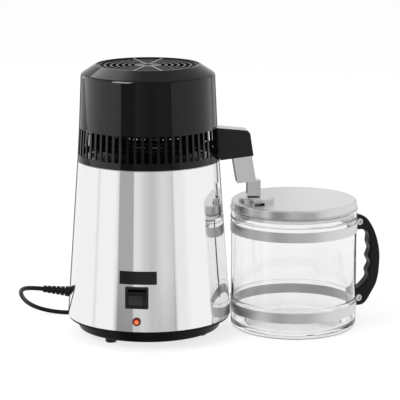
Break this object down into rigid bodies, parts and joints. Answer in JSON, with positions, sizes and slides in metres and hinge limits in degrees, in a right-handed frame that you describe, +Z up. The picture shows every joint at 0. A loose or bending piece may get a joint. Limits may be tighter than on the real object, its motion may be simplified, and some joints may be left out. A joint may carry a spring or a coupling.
{
  "type": "countertop water distiller",
  "caption": "Countertop water distiller: tapered steel boiler with a black vented fan head and side spout, over a glass jug with steel lid, filler cap and grip handle.",
  "frame": {"origin": "centre of the base of the box round the appliance and jug, without the free lead, on the worktop", "axes": "+X from the boiler to the jug, +Y to the back, away from the controls, +Z up"},
  "size_m": [0.5214, 0.33, 0.3829],
  "materials": {
    "polished_steel": "mirror polished stainless steel",
    "brushed_steel": "brushed stainless steel",
    "pot_steel": "satin stainless steel",
    "screw_steel": "bright zinc plate",
    "bracket_steel": "zinc plated sheet",
    "motor_steel": "satin paint",
    "element_steel": "heat darkened tube",
    "aluminium": "cast, satin",
    "ceramic": "matt ceramic body with steel tabs",
    "black_plastic": "fine matt moulding",
    "black_gloss": "gloss moulding",
    "rocker_plastic": "gloss moulding",
    "red_plastic": "gloss moulding",
    "orange_plastic": "translucent gloss moulding",
    "fan_plastic": "satin moulding",
    "handle_plastic": "satin moulding",
    "tie_plastic": "soft strap",
    "rubber": "matt rubber",
    "lead_rubber": "satin cord sheath",
    "silicone": "soft translucent silicone",
    "clear_glass": "clear blown glass",
    "pin_brass": "nickel plated brass"
  },
  "bodies": {
    "base": {"base_tray": "black_plastic", "rubber_feet": "rubber", "foot_screws": "screw_steel", "standoffs": "screw_steel", "outer_casing": "polished_steel", "boiling_pot": "pot_steel", "heater_plate": "aluminium", "heater_element": "element_steel", "thermal_cutout": "ceramic", "switch_frame": "black_plastic", "rocker_pin": "screw_steel", "reset_module": "red_plastic", "reset_nut": "black_plastic", "lead_relief": "lead_rubber", "mains_lead": "lead_rubber", "lead_coil": "lead_rubber", "lead_tail": "lead_rubber", "coil_tie": "tie_plastic", "mains_plug": "lead_rubber", "plug_pins": "pin_brass"},
    "rocker": {"switch_rocker": "rocker_plastic"},
    "reset": {"reset_button": "orange_plastic"},
    "head": {"vent_collar": "black_gloss", "head_dome": "black_gloss", "fan_grille": "black_gloss", "steam_plate": "pot_steel", "head_screws": "screw_steel", "seal_ring": "silicone", "condenser_coil": "pot_steel", "fan_bracket": "bracket_steel", "bracket_screws": "screw_steel", "fan_motor": "motor_steel", "spout_arm": "black_plastic", "spout_chute": "brushed_steel", "nozzle_tip": "brushed_steel", "outlet_tube": "pot_steel"},
    "fan": {"fan_blades": "fan_plastic", "motor_shaft": "screw_steel"},
    "jug": {"glass_jug": "clear_glass", "upper_band": "brushed_steel", "lower_band": "brushed_steel", "jug_handle": "handle_plastic", "handle_screws": "screw_steel", "handle_nuts": "screw_steel"},
    "lid": {"jug_lid": "brushed_steel", "lid_gasket": "silicone", "filler_cap": "brushed_steel"}
  },
  "joints": [
    {"name": "rocker_hinge", "type": "hinge", "parent": "base", "child": "rocker", "pos_m": [-0.14617, -0.10169, 0.07684], "axis": [0.9537, -0.3007, 0], "range_deg": [-20, 0]},
    {"name": "reset_press", "type": "slide", "parent": "base", "child": "reset", "axis": [0.2999, 0.9513, -0.0715], "range_m": [0, 0.0025], "stiffness_N_per_m": 400},
    {"name": "head_lift", "type": "slide", "parent": "base", "child": "head", "axis": [0, 0, 1], "range_m": [0, 0.15]},
    {"name": "fan_spin", "type": "hinge", "parent": "head", "child": "fan", "pos_m": [-0.11411, 0, 0.343], "axis": [0, 0, 1], "continuous": true},
    {"name": "jug_pull", "type": "slide", "parent": "base", "child": "jug", "axis": [1, 0, 0], "range_m": [0, 0.15]},
    {"name": "lid_turn", "type": "hinge", "parent": "jug", "child": "lid", "pos_m": [0.09529, 0, 0.1726], "axis": [0, 0, 1], "continuous": true}
  ]
}
